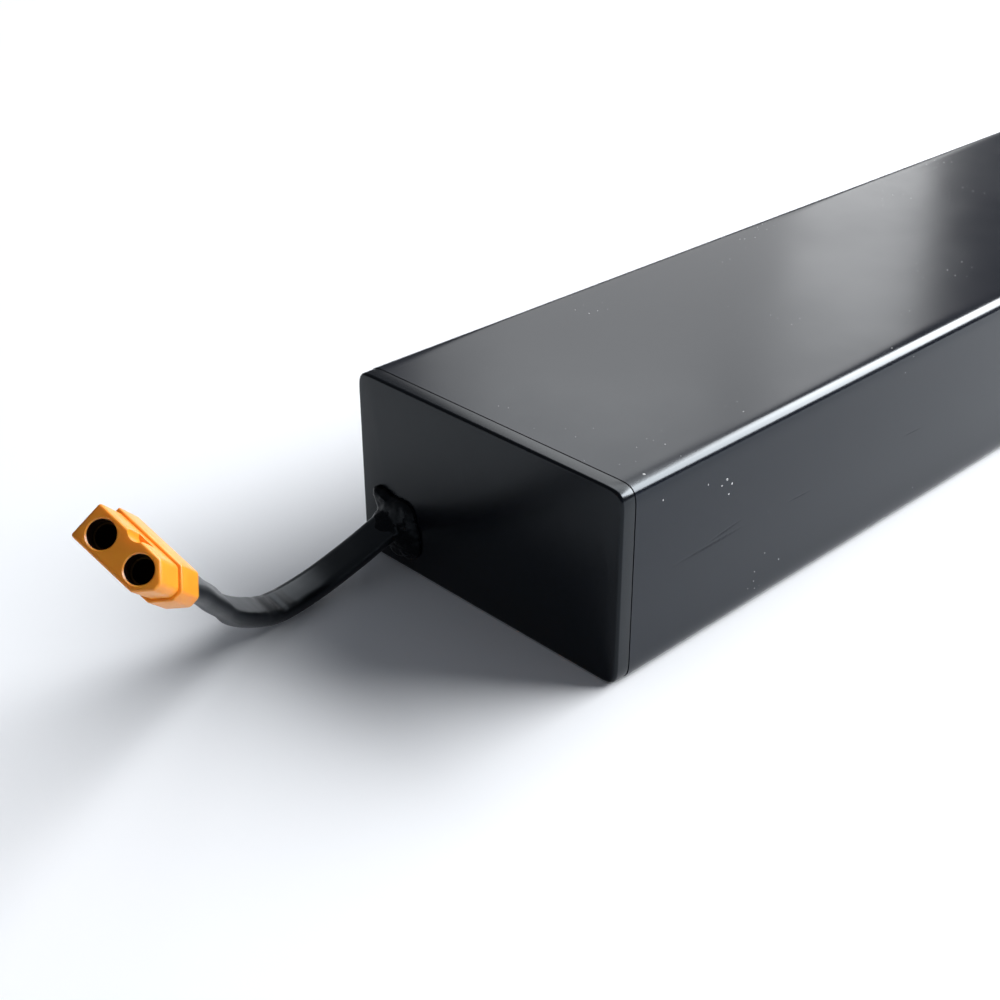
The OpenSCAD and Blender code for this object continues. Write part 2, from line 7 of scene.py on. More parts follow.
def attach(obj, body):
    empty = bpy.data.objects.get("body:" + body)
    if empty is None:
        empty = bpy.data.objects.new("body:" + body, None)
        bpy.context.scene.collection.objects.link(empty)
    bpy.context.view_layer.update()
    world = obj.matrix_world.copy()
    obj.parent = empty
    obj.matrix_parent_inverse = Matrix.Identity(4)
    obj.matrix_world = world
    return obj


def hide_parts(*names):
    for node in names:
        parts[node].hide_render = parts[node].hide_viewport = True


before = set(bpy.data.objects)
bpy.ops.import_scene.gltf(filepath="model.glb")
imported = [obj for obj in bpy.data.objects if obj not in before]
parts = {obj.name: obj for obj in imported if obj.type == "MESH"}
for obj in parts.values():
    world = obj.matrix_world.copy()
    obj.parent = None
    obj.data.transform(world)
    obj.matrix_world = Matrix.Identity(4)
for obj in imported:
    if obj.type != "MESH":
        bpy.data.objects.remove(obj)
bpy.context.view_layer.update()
scene = bpy.context.scene

# The view of the photograph: a normal lens a little above the case, looking along its
# length from the corner where the lead comes out.
camera_place = Vector((0.18157, -0.29843, 0.16434))
camera_azimuth, camera_elevation, camera_roll = 46.29, 29.4, -0.28
camera_lens = 55.24

towards_camera = Vector((
    sin(radians(camera_azimuth)) * cos(radians(camera_elevation)),
    -cos(radians(camera_azimuth)) * cos(radians(camera_elevation)),
    sin(radians(camera_elevation)),
))
camera_data = bpy.data.cameras.new("camera")
camera_data.lens = camera_lens
camera_data.sensor_width = 36
camera_data.clip_start = 0.01
camera = bpy.data.objects.new("camera", camera_data)
scene.collection.objects.link(camera)
turned = towards_camera.to_track_quat("Z", "Y").to_matrix() @ Matrix.Rotation(radians(camera_roll), 3, "Z")
camera.matrix_world = Matrix.Translation(camera_place) @ turned.to_4x4()
scene.camera = camera


# Output lead: two insulated cores side by side in one black shrunk sleeve, stiff enough
# to hold its own sweep from the cap down to the table and up to the connector. It is
# flat, with a faint waist between the cores and fine creases inside its tightest bend.
lead_exit = Vector((-0.025, -0.130, 0.0102))
lead_steps = [Vector(step) / 1000 for step in (
    (0, 0, 0), (-1, -10, -4), (-1.5, -20, -7), (0.5, -31, -6.5), (4, -39.5, -2), (9, -47, 4.5),
    (15, -52.5, 11.5), (21, -58, 18), (27, -63.5, 25), (33, -69.5, 32), (38.3, -75.1, 38.4),
)]
run_in, run_out = 0.008, 0.010
lead_tilt = 20
core_d, core_pitch, sleeve_t = 0.0031, 0.00315, 0.00025
sleeve_r = core_d / 2 + sleeve_t
waist_depth, waist_reach, waist_least = 0.00008, 0.55, 0.0004
pin_pitch = 0.0072
flare_l = 0.026
plug_turn, plug_tip, plug_roll = -51, 39.5, -37.5
plug_turned = Euler((radians(plug_roll), radians(-plug_tip), radians(plug_turn))).to_matrix()
plug_axis = plug_turned @ Vector((1, 0, 0))
plug_side = plug_turned @ Vector((0, 1, 0))
samples_per_step = 14
ring_sides = 48
crease_at, crease_reach, crease_pitch, crease_h, crease_skew = 0.0345, 0.0060, 0.0046, 0.00035, 0.9


def spline(a, b, c, d, t):
    """Point at t on the smooth curve from b to c, with a before it and d after it."""
    return 0.5 * (2 * b + (c - a) * t + (2 * a - 5 * b + 4 * c - d) * t * t
                  + (3 * b - a - 3 * c + d) * t * t * t)


route = [Vector((0, run_in, 0))] + lead_steps + [lead_steps[-1] + run_out * plug_axis]
lead_path = [
    lead_exit + spline(*route[i - 1:i + 3], k / samples_per_step)
    for i in range(1, len(route) - 2) for k in range(samples_per_step)
] + [lead_exit + lead_steps[-1]]
distance = [0.0]
for before, after in zip(lead_path, lead_path[1:]):
    distance.append(distance[-1] + (after - before).length)
lead_length = distance[-1]

tilted = Vector((cos(radians(lead_tilt)), 0, -sin(radians(lead_tilt))))
points, lead_uv = [], []
for i, centre in enumerate(lead_path):
    t = distance[i] / lead_length
    if i == 0:
        along = Vector((0, -1, 0))
    elif i == len(lead_path) - 1:
        along = plug_axis
    else:
        along = (lead_path[i + 1] - lead_path[i - 1]).normalized()
    side = tilted.lerp(plug_side, t)
    side = (side - side.dot(along) * along).normalized()
    up = along.cross(side)
    flare = max(0.0, 1 - (lead_length - distance[i]) / flare_l)
    spread = (core_pitch + (pin_pitch - core_pitch) * flare * flare * (3 - 2 * flare)) / 2
    near_crease = exp(-((distance[i] - crease_at) / crease_reach) ** 2)
    for k in range(ring_sides):
        a = 2 * pi * k / ring_sides
        across = (spread if cos(a) > 0 else -spread) + sleeve_r * cos(a)
        height = sleeve_r * sin(a)
        waist = waist_depth * exp(-(across / (waist_reach * spread + waist_least)) ** 2)
        upper = max(0.0, sin(a)) ** 2
        ripple = (1 + sin(2 * pi * distance[i] / crease_pitch + crease_skew * cos(a))) / 2
        height -= waist * (1 if height > 0 else -1) + crease_h * near_crease * upper * ripple
        points.append(centre + across * side + height * up)
        lead_uv.append((distance[i], k / ring_sides))
faces = [
    (a + k, a + (k + 1) % ring_sides, a + ring_sides + (k + 1) % ring_sides, a + ring_sides + k)
    for a in range(0, (len(lead_path) - 1) * ring_sides, ring_sides) for k in range(ring_sides)
]
faces.append(tuple(range(ring_sides))[::-1])
faces.append(tuple(range(len(points) - ring_sides, len(points))))
lead_mesh = bpy.data.meshes.new("output_sleeve")
lead_mesh.from_pydata(points, [], faces)
uv_layer = lead_mesh.uv_layers.new(name="along")
for loop in lead_mesh.loops:
    uv_layer.data[loop.index].uv = lead_uv[loop.vertex_index]
lead = bpy.data.objects.new("output_sleeve", lead_mesh)
scene.collection.objects.link(lead)


def only(piece):
    """Makes the piece the one selected and active object."""
    bpy.ops.object.select_all(action="DESELECT")
    piece.select_set(True)
    bpy.context.view_layer.objects.active = piece


only(lead)
bpy.ops.object.mode_set(mode="EDIT")
bpy.ops.mesh.select_all(action="SELECT")
bpy.ops.mesh.normals_make_consistent(inside=False)
bpy.ops.object.mode_set(mode="OBJECT")
bpy.ops.object.shade_smooth_by_angle(angle=radians(50))


def linear(code):
    """An sRGB hex colour as the linear values that a shader takes."""
    channels = [int(code[i:i + 2], 16) / 255 for i in (1, 3, 5)]
    return (*[c / 12.92 if c <= 0.04045 else ((c + 0.055) / 1.055) ** 2.4 for c in channels], 1)


def new_finish(name, colour, **sockets):
    """A material of one colour with its shader's own sockets set."""
    material = bpy.data.materials.new(name)
    material.use_nodes = True
    shader = material.node_tree.nodes["Principled BSDF"]
    shader.inputs["Base Color"].default_value = linear(colour)
    for socket, value in sockets.items():
        shader.inputs[socket.replace("_", " ")].default_value = value
    return material, material.node_tree, shader


def add(tree, kind, settings, inputs):
    """Adds a node; an input is a value or the socket that feeds it."""
    node = tree.nodes.new("ShaderNode" + kind)
    for setting, value in settings.items():
        setattr(node, setting, value)
    for socket, value in inputs.items():
        if isinstance(value, bpy.types.NodeSocket):
            tree.links.new(value, node.inputs[socket])
        else:
            node.inputs[socket].default_value = value
    return node


# Polyolefin heat-shrink: extruded and shrunk on, so it is smooth and satin, with a fine
# orange-peel where it cooled and paler rubbed streaks along its length.
peel_size = 0.0012
rubs_per_metre, rubs_around = 60, 9
sleeve, tree, shader = new_finish("polyolefin_sleeve", "#07080a", Roughness=0.36, IOR=1.47)
# Painted cool tint on its reflections, standing in for cool room light.
shader.inputs["Specular Tint"].default_value = (0.82, 0.91, 1.0, 1.0)
uv = add(tree, "UVMap", {"uv_map": "along"}, {}).outputs["UV"]
place = add(tree, "TexCoord", {}, {}).outputs["Object"]
stretched = add(tree, "Mapping", {}, {"Vector": uv, "Scale": (rubs_per_metre, rubs_around, 1)})
rub = add(tree, "TexNoise", {}, {
    "Vector": stretched.outputs["Vector"], "Scale": 1.0, "Detail": 4.0, "Roughness": 0.6})
rubbed = add(tree, "MapRange", {}, {"Value": rub.outputs["Fac"], "From Min": 0.5, "From Max": 0.75})
tint = add(tree, "Mix", {"data_type": "RGBA"}, {
    0: rubbed.outputs[0], 6: linear("#04060a"), 7: linear("#0c0f15")})
tree.links.new(tint.outputs[2], shader.inputs["Base Color"])
gloss = add(tree, "MapRange", {}, {"Value": rub.outputs["Fac"], "From Min": 0.3, "From Max": 0.7,
                                   "To Min": 0.28, "To Max": 0.4})
tree.links.new(gloss.outputs[0], shader.inputs["Roughness"])
peel = add(tree, "TexNoise", {}, {"Vector": place, "Scale": 1 / peel_size, "Detail": 2.0})
peel_bump = add(tree, "Bump", {}, {"Height": peel.outputs["Fac"], "Strength": 0.25, "Distance": 0.00005})
tree.links.new(peel_bump.outputs["Normal"], shader.inputs["Normal"])
lead.data.materials.append(sleeve)
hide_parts("output_lead")
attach(lead, "root")


# Sealant round the lead: black rubbery sealant pressed into the hole from outside by
# hand, so it stands on the cap in glossy lumps of uneven height and wets the lead.
# Each lump in millimetres: beside, out of the cap and above the exit, its radius, and how
# flat it is pressed as a share of that
bead_balls = [
    (0.8, 0.0, -0.4, 6.0, 0.42), (3.6, 0.0, -3.4, 4.0, 0.40), (0.8, 0.0, -4.6, 3.3, 0.45),
    (-2.6, 0.0, 3.2, 2.9, 0.60), (-4.3, 0.3, 4.8, 1.5, 0.9), (3.0, 0.0, 2.2, 3.4, 0.50),
    (5.2, 0.0, -0.8, 2.2, 0.6),
]
collar_reach, collar_samples = (0.0066, 0.0041, 0.0027), 8
bead_voxel = 0.00028
bead_smooth_steps = 14
bead_back = 0.0002
lump_size, lump_octaves, lump_h, lump_level = 0.0026, 2, 0.0005, 0.55
balls = []
for across, out, above, radius, flat in bead_balls:
    bpy.ops.object.select_all(action="DESELECT")
    bpy.ops.mesh.primitive_ico_sphere_add(
        subdivisions=4, radius=radius / 1000,
        location=lead_exit + Vector((across, -out, above)) / 1000, scale=(1, flat, 1))
    balls.append(bpy.context.active_object)
collar_axis = (lead_path[collar_samples] - lead_path[0]).normalized()
collar_side = (tilted - tilted.dot(collar_axis) * collar_axis).normalized()
collar_turn = Matrix((collar_axis, collar_side, collar_axis.cross(collar_side))).transposed()
bpy.ops.object.select_all(action="DESELECT")
bpy.ops.mesh.primitive_ico_sphere_add(subdivisions=4, radius=1, location=lead_exit,
                                      rotation=collar_turn.to_euler(), scale=collar_reach)
balls.append(bpy.context.active_object)
bpy.ops.object.select_all(action="DESELECT")
for ball in balls:
    ball.select_set(True)
bpy.ops.object.join()
bead = bpy.context.active_object
bead.name = "sealant_bead"
bpy.ops.object.transform_apply(location=True, rotation=True, scale=True)
remesh = bead.modifiers.new("remesh", "REMESH")
remesh.mode = "VOXEL"
remesh.voxel_size = bead_voxel
bpy.ops.object.modifier_apply(modifier="remesh")
smooth = bead.modifiers.new("smooth", "SMOOTH")
smooth.iterations = bead_smooth_steps
bpy.ops.object.modifier_apply(modifier="smooth")
lumps = bpy.data.textures.new("sealant_lumps", "CLOUDS")
lumps.noise_scale = lump_size
lumps.noise_depth = lump_octaves
uneven = bead.modifiers.new("uneven", "DISPLACE")
uneven.texture = lumps
uneven.texture_coords = "LOCAL"
uneven.strength = lump_h
uneven.mid_level = lump_level
bpy.ops.object.modifier_apply(modifier="uneven")
bpy.ops.object.mode_set(mode="EDIT")
bpy.ops.mesh.select_all(action="SELECT")
bpy.ops.mesh.bisect(plane_co=lead_exit + Vector((0, bead_back, 0)), plane_no=(0, 1, 0), use_fill=True,
                    clear_outer=True)
bpy.ops.object.mode_set(mode="OBJECT")
bpy.ops.object.shade_smooth()

# Silicone sealant cures with a skin: nearly black, glossy, and uneven where it was
# touched, which breaks its highlights into small glints.
wrinkle_size = 0.0024
sealant, tree, shader = new_finish("silicone_sealant", "#010204", Roughness=0.3, IOR=1.25)
# Painted cool tint on its reflections, standing in for cool room light.
shader.inputs["Specular Tint"].default_value = (0.8, 0.9, 1.0, 1.0)
place = add(tree, "TexCoord", {}, {}).outputs["Object"]
wrinkle = add(tree, "TexNoise", {}, {
    "Vector": place, "Scale": 1 / wrinkle_size, "Detail": 2.0, "Distortion": 0.3})
wrinkle_bump = add(tree, "Bump", {}, {
    "Height": wrinkle.outputs["Fac"], "Strength": 0.15, "Distance": 0.00015})
tree.links.new(wrinkle_bump.outputs["Normal"], shader.inputs["Normal"])
sheen = add(tree, "MapRange", {}, {"Value": wrinkle.outputs["Fac"], "From Min": 0.35, "From Max": 0.65,
                                   "To Min": 0.2, "To Max": 0.4})
tree.links.new(sheen.outputs[0], shader.inputs["Roughness"])
bead.data.materials.append(sealant)
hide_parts("cable_sealant")
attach(bead, "root")


# Connector housing: one injection-moulded piece of yellow-orange nylon, with a keyed
# insert in front of a wider body, two stepped bores and a groove between them on top. Its
# edges carry the small radii of the mould.
plug_l, body_l = 0.016, 0.0085
insert_w, insert_t = 0.014, 0.0059
bore_shift = 0.0002
insert_low = bore_shift - insert_w / 2
insert_high = insert_low + insert_w
key_cut, body_step, back_bevel = 0.0023, 0.0005, 0.0006
groove_r, groove_depth, groove_from, lip = 0.0016, 0.0008, 0.0028, 0.00022
contact_d, contact_fit, collar_d, collar_l = 0.0041, 0.00005, 0.0046, 0.005
insert_radius, body_radius = 0.00045, 0.0003
plug_gap, cutter_past, cutter_sides, close = 0.00005, 0.001, 96, 0.00001
plug_place = Matrix.Translation(lead_exit + lead_steps[-1] + plug_gap * plug_axis) @ plug_turned.to_4x4()


def box(name, size, centre):
    """A plain block of a size, with its size applied."""
    bpy.ops.object.select_all(action="DESELECT")
    bpy.ops.mesh.primitive_cube_add(size=1, location=centre, scale=size)
    bpy.ops.object.transform_apply(location=True, rotation=True, scale=True)
    bpy.context.active_object.name = name
    return bpy.context.active_object


def bevel_edges(piece, chosen, offset, segments):
    """Rounds the edges of a piece whose two ends pass the test."""
    only(piece)
    bpy.ops.object.mode_set(mode="EDIT")
    bpy.ops.mesh.select_mode(type="EDGE")
    bpy.ops.mesh.select_all(action="DESELECT")
    bpy.ops.object.mode_set(mode="OBJECT")
    for edge in piece.data.edges:
        edge.select = chosen(*[piece.data.vertices[v].co for v in edge.vertices])
    bpy.ops.object.mode_set(mode="EDIT")
    bpy.ops.mesh.bevel(offset=offset, offset_type="OFFSET", segments=segments)
    bpy.ops.object.mode_set(mode="OBJECT")


def join_by_boolean(piece, tool, operation):
    """Joins the tool to the piece or cuts it out, and removes the tool."""
    modifier = piece.modifiers.new("boolean", "BOOLEAN")
    modifier.operation = operation
    modifier.object = tool
    modifier.solver = "EXACT"
    only(piece)
    bpy.ops.object.modifier_apply(modifier="boolean")
    bpy.data.objects.remove(tool)


def keyed_block(name, start, end, extra, cut, radius, back=0):
    """A block along X with rounded edges, its corners at +Y cut off and its back bevelled."""
    low, high = insert_low - extra, insert_high + extra
    size = (end - start, high - low, insert_t + 2 * extra)
    block = box(name, size, ((start + end) / 2, (low + high) / 2, 0))
    bevel_edges(block, lambda a, b: min(a.y, b.y) > high - close and abs(a.z - b.z) < close, cut, 1)
    if back:
        bevel_edges(block, lambda a, b: max(a.x, b.x) < start + close, back, 1)
    bevel_edges(block, lambda a, b: True, radius, 4)
    return block


def cut_round(piece, radius, start, end, y=0, z=0):
    """Drills the piece along X with a round cutter between start and end."""
    bpy.ops.object.select_all(action="DESELECT")
    bpy.ops.mesh.primitive_cylinder_add(vertices=cutter_sides, radius=radius, depth=end - start,
                                        location=((start + end) / 2, y, z), rotation=(0, pi / 2, 0))
    join_by_boolean(piece, bpy.context.active_object, "DIFFERENCE")


housing = keyed_block(
    "housing_body", 0, body_l, body_step, key_cut + body_step / 2, body_radius, back_bevel)
insert = keyed_block("insert", body_l / 2, plug_l, 0, key_cut, insert_radius)
join_by_boolean(housing, insert, "UNION")
groove_z = insert_t / 2 + groove_r - groove_depth
cut_round(housing, groove_r, body_l + groove_from, plug_l + cutter_past, z=groove_z)
bore = contact_d / 2 + contact_fit
for y in (-pin_pitch / 2, pin_pitch / 2):
    cut_round(housing, bore, -cutter_past, plug_l + cutter_past, y=y)
    cut_round(housing, collar_d / 2 + contact_fit, -cutter_past, collar_l, y=y)
    bpy.ops.object.select_all(action="DESELECT")
    bpy.ops.mesh.primitive_cone_add(vertices=cutter_sides, radius1=bore, radius2=bore + 2 * lip,
                                    depth=2 * lip, location=(plug_l, y, 0), rotation=(0, pi / 2, 0))
    join_by_boolean(housing, bpy.context.active_object, "DIFFERENCE")
only(housing)
housing.data.transform(plug_place)
bpy.ops.object.shade_smooth_by_angle(angle=radians(35))

# Nylon, injection-moulded: satin gloss over a slightly milky yellow-orange, with the
# fine flow texture of the mould. The bores are painted dark inside, as painted shade for the deep holes.
flow_size, grit_size, bore_shade_past = 0.006, 0.0005, 0.00003
nylon, tree, shader = new_finish("moulded_nylon", "#e38a29", Roughness=0.36, IOR=1.5)
shader.inputs["Subsurface Weight"].default_value = 0.3
shader.inputs["Subsurface Radius"].default_value = (0.0020, 0.0010, 0.0003)
shader.inputs["Subsurface Scale"].default_value = 1.0
place = add(tree, "TexCoord", {}, {}).outputs["Object"]
cloud = add(tree, "TexNoise", {}, {"Vector": place, "Scale": 1 / flow_size, "Detail": 3.0})
shade = add(tree, "MapRange", {}, {"Value": cloud.outputs["Fac"], "From Min": 0.35, "From Max": 0.7})
tint = add(tree, "Mix", {"data_type": "RGBA"}, {
    0: shade.outputs[0], 6: linear("#ea9524"), 7: linear("#e1891c")})
held = add(tree, "Mapping", {"vector_type": "TEXTURE"}, {
    "Vector": place, "Location": plug_place.translation, "Rotation": plug_turned.to_euler()})
either = add(tree, "VectorMath", {"operation": "ABSOLUTE"}, {0: held.outputs["Vector"]})
from_axis = add(tree, "VectorMath", {"operation": "SUBTRACT"}, {
    0: either.outputs[0], 1: (0, pin_pitch / 2, 0)})
across = add(tree, "VectorMath", {"operation": "MULTIPLY"}, {0: from_axis.outputs[0], 1: (0, 1, 1)})
reach = add(tree, "VectorMath", {"operation": "LENGTH"}, {0: across.outputs[0]})
in_bore = add(tree, "Math", {"operation": "LESS_THAN"}, {0: reach.outputs["Value"], 1: bore + bore_shade_past})
# Painted shade: the colour inside each bore is turned near black-brown.
bore_painted_shade = add(tree, "Mix", {"data_type": "RGBA"}, {
    0: in_bore.outputs[0], 6: tint.outputs[2], 7: linear("#1c0b04")})
tree.links.new(bore_painted_shade.outputs[2], shader.inputs["Base Color"])
grit = add(tree, "TexNoise", {}, {"Vector": place, "Scale": 1 / grit_size, "Detail": 3.0})
grit_bump = add(tree, "Bump", {}, {"Height": grit.outputs["Fac"], "Strength": 0.2, "Distance": 0.00004})
tree.links.new(grit_bump.outputs["Normal"], shader.inputs["Normal"])
housing.data.materials.append(nylon)
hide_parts("connector_housing")
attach(housing, "root")


# Contacts: turned brass sockets, plated with gold, pressed into the housing from behind.
# Their gold is painted dark, as painted shade for their deep bores, which look nearly black from outside,
# with a gold rim.
tool_mark = 0.0004
# Painted shade: the gold's colour is much darker than plating has.
gold, tree, shader = new_finish("gold_plated_brass", "#5a4220", Metallic=1.0, Roughness=0.4)
place = add(tree, "TexCoord", {}, {}).outputs["Object"]
turning = add(tree, "TexNoise", {}, {"Vector": place, "Scale": 1 / tool_mark, "Detail": 2.0})
polish = add(tree, "MapRange", {}, {"Value": turning.outputs["Fac"], "To Min": 0.32, "To Max": 0.48})
tree.links.new(polish.outputs[0], shader.inputs["Roughness"])
for name in ("contact_positive", "contact_negative"):
    parts[name].material_slots[0].material = gold


# Case: aluminium extruded as one tube, cut to length and anodised black. The die leaves
# faint lines along it; the finish is satin, and dust and light scuffs show on it.
case_w, case_h, wall_t, tube_end = 0.070, 0.040, 0.0015, 0.1265
edge_run, edge_sweep, edge_steps = 0.0045, 0.00165, 44
end_facing = 0.9


def case_outline(inset):
    """Section of the case: flat sides that run softly into its round edges, then turn quickly."""
    step = 2 * edge_run / edge_steps
    corner = [Vector((0, 0))]
    for i in range(edge_steps):
        along = (i + 0.5) * step - edge_run
        turn = pi / 4 * (1 + tanh(along / edge_sweep) / tanh(edge_run / edge_sweep))
        corner.append(corner[-1] + step * Vector((cos(turn), -sin(turn))))
    reach = corner[-1].x
    right, top = case_w / 2 - inset, case_h / 2 - inset
    quarter = [(right - reach + p.x, top + p.y) for p in corner]
    half = quarter + [(x, -z) for x, z in reversed(quarter)]
    return half + [(-x, z) for x, z in reversed(half)]


def case_prism(name, inset, front, length):
    """The section as a flat sheet at the front, drawn out along the case."""
    outline = case_outline(inset)
    bpy.ops.object.select_all(action="DESELECT")
    bpy.ops.mesh.primitive_circle_add(vertices=len(outline), fill_type="NGON")
    prism = bpy.context.active_object
    prism.name = name
    for vertex, (x, z) in zip(prism.data.vertices, outline):
        vertex.co = (x, front, case_h / 2 + z)
    bpy.ops.object.mode_set(mode="EDIT")
    bpy.ops.mesh.select_all(action="SELECT")
    bpy.ops.mesh.extrude_region_move(TRANSFORM_OT_translate={"value": (0, length, 0)})
    bpy.ops.mesh.select_all(action="SELECT")
    bpy.ops.mesh.normals_make_consistent(inside=False)
    bpy.ops.object.mode_set(mode="OBJECT")
    return prism


case = case_prism("case_extrusion", 0, -tube_end, 2 * tube_end)
bpy.ops.object.mode_set(mode="EDIT")
bpy.ops.mesh.select_mode(type="FACE")
bpy.ops.mesh.select_all(action="DESELECT")
bpy.ops.object.mode_set(mode="OBJECT")
for face in case.data.polygons:
    face.select = abs(face.normal.y) > end_facing
bpy.ops.object.mode_set(mode="EDIT")
bpy.ops.mesh.delete(type="ONLY_FACE")
bpy.ops.object.mode_set(mode="OBJECT")
walls = case.modifiers.new("walls", "SOLIDIFY")
walls.thickness = wall_t
walls.offset = -1
bpy.ops.object.modifier_apply(modifier="walls")
bpy.ops.object.shade_smooth_by_angle(angle=radians(30))

# Anodised aluminium, dyed black: a thin hard clear layer over satin metal. It mirrors the
# room softly, a little cooler than it is, and shows the die's lines, dust and knocks.
line_w, line_l, haze_size = 0.0009, 0.12, 0.05
speck_pitch, dusty_size, stroke_size, chip_edge = 0.0018, 0.016, 0.0007, 0.18
anodised, tree, shader = new_finish("anodised_aluminium", "#060a15", Roughness=0.2, IOR=1.4)
shader.inputs["Specular Tint"].default_value = (0.82, 0.92, 1.0, 1.0)
place = add(tree, "TexCoord", {}, {}).outputs["Object"]
die_lines = add(tree, "Mapping", {}, {"Vector": place, "Scale": (1 / line_w, 1 / line_l, 1 / line_w)})
lines = add(tree, "TexNoise", {}, {"Vector": die_lines.outputs["Vector"], "Scale": 1.0, "Detail": 3.0})
cloudy = add(tree, "TexNoise", {}, {
    "Vector": place, "Scale": 1 / haze_size, "Detail": 4.0, "Roughness": 0.6})
haze = add(tree, "MapRange", {}, {"Value": cloudy.outputs["Fac"], "From Min": 0.35, "From Max": 0.7,
                                  "To Min": 0.15, "To Max": 0.23})
tree.links.new(haze.outputs[0], shader.inputs["Roughness"])
specks = add(tree, "TexVoronoi", {}, {"Vector": place, "Scale": 1 / speck_pitch, "Randomness": 1.0})
where = add(tree, "TexNoise", {}, {"Vector": place, "Scale": 1 / dusty_size, "Detail": 1.0})
size = add(tree, "MapRange", {}, {"Value": where.outputs["Fac"], "From Min": 0.5, "From Max": 0.7,
                                  "To Min": 0.0, "To Max": 0.085})
speck = add(tree, "Math", {"operation": "LESS_THAN"}, {0: specks.outputs["Distance"], 1: size.outputs[0]})

# Scuffs on its right side: place along the case and above the floor, half its length and
# half its height, and its tip in degrees. The coating is scored there in broken strokes.
scuffs = (
    (-0.1055, 0.0199, 0.0125, 0.0005, 0.5), (-0.0785, 0.0196, 0.0052, 0.0003, -2),
    (-0.0395, 0.0197, 0.0050, 0.0003, -3), (-0.1010, 0.0212, 0.0060, 0.0004, 6),
)
scuff_depth = 0.001
scuffed = 0
for y, z, half_l, half_h, tip in scuffs:
    mark = add(tree, "Mapping", {"vector_type": "TEXTURE"}, {
        "Vector": place, "Location": (case_w / 2, y, z), "Rotation": (radians(tip), 0, 0),
        "Scale": (scuff_depth, half_l, half_h)})
    spot = add(tree, "TexGradient", {"gradient_type": "SPHERICAL"}, {"Vector": mark.outputs["Vector"]})
    scuffed = add(tree, "Math", {"operation": "ADD", "use_clamp": True}, {
        0: scuffed, 1: spot.outputs["Fac"]}).outputs[0]
broken = add(tree, "TexNoise", {}, {"Vector": place, "Scale": 1 / stroke_size, "Detail": 3.0})
scored = add(tree, "Math", {"operation": "MULTIPLY"}, {0: scuffed, 1: broken.outputs["Fac"]})

# Chips by its front corner, one on top and the others on the side, each with its place
# and radius. The bare metal shows pale there.
chips = (
    (0.0326, -0.1220, 0.0400, 0.00044), (0.0350, -0.1195, 0.0348, 0.00024),
    (0.0350, -0.1072, 0.0331, 0.00024), (0.0350, -0.1018, 0.0321, 0.00040),
    (0.0350, -0.1003, 0.0307, 0.00036), (0.0350, -0.1032, 0.0313, 0.00028),
    (0.0350, -0.1010, 0.0288, 0.00026),
)
knocked = 0
for x, y, z, radius in chips:
    mark = add(tree, "Mapping", {"vector_type": "TEXTURE"}, {
        "Vector": place, "Location": (x, y, z), "Scale": (radius, radius, radius)})
    spot = add(tree, "TexGradient", {"gradient_type": "SPHERICAL"}, {"Vector": mark.outputs["Vector"]})
    knocked = add(tree, "Math", {"operation": "ADD", "use_clamp": True}, {
        0: knocked, 1: spot.outputs["Fac"]}).outputs[0]
flaked = add(tree, "Math", {"operation": "MULTIPLY"}, {0: knocked, 1: broken.outputs["Fac"]})
chipped = add(tree, "Math", {"operation": "GREATER_THAN"}, {0: flaked.outputs[0], 1: chip_edge})
pale_spot = add(tree, "Math", {"operation": "MAXIMUM"}, {0: speck.outputs[0], 1: chipped.outputs[0]})
dusty = add(tree, "Mix", {"data_type": "RGBA"}, {
    0: pale_spot.outputs[0], 6: linear("#060a15"), 7: linear("#b9babb")})
tree.links.new(dusty.outputs[2], shader.inputs["Base Color"])
duller = add(tree, "MapRange", {}, {"Value": scored.outputs[0], "From Min": 0.1, "From Max": 0.4,
                                    "To Min": 0.5, "To Max": 0.3})
tree.links.new(duller.outputs[0], shader.inputs["Specular IOR Level"])
line_bump = add(tree, "Bump", {}, {"Height": lines.outputs["Fac"], "Strength": 0.12, "Distance": 0.00002})
score_bump = add(tree, "Bump", {"invert": True}, {
    "Height": scored.outputs[0], "Strength": 0.6, "Distance": 0.0001, "Normal": line_bump.outputs["Normal"]})
tree.links.new(score_bump.outputs["Normal"], shader.inputs["Normal"])
case.data.materials.append(anodised)
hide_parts("case_tube")
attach(case, "root")


# End caps: injection-moulded black plugs pushed into both ends of the case. The flange
# is nearly flush with the case, with a hair-thin seam and a small radius round its face. A
# skirt with stiffening ribs goes inside. The front one is drilled for the lead.
flange_in, flange_t, seam, edge_radius = 0.0001, 0.0032, 0.00015, 0.0006
skirt_w, skirt_h, skirt_l, skirt_t = 0.0665, 0.0365, 0.010, 0.0018
rib_t, rib_h, rib_places = 0.0012, 0.0025, (-0.01845, -0.00415, 0.01015, 0.02445)
lead_hole_d, hole_sides = 0.008, 64
front_facing = -0.4
spark_size = 0.0006


# ABS, black all through. The front face has the faint spark texture of the mould, so the
# lead shows in it as a blurred dark band; the rim was polished to slide out of the mould.
def cap_finish(name, grain_depth, **sockets):
    """Black plastic with a grain of so many metres in depth."""
    finish, tree, shader = new_finish(name, "#010309", **sockets)
    # Painted cool tint on its reflections, standing in for cool room light.
    shader.inputs["Specular Tint"].default_value = (0.84, 0.93, 1.0, 1.0)
    place = add(tree, "TexCoord", {}, {}).outputs["Object"]
    spark = add(tree, "TexNoise", {}, {"Vector": place, "Scale": 1 / spark_size, "Detail": 3.0})
    spark_bump = add(tree, "Bump", {}, {
        "Height": spark.outputs["Fac"], "Strength": 0.15, "Distance": grain_depth})
    tree.links.new(spark_bump.outputs["Normal"], shader.inputs["Normal"])
    return finish


cap_plastic = cap_finish("moulded_abs", 0.00003, Roughness=0.24, IOR=1.34)
rim_plastic = cap_finish("polished_abs_rim", 0.00001, Roughness=0.2, IOR=1.45)


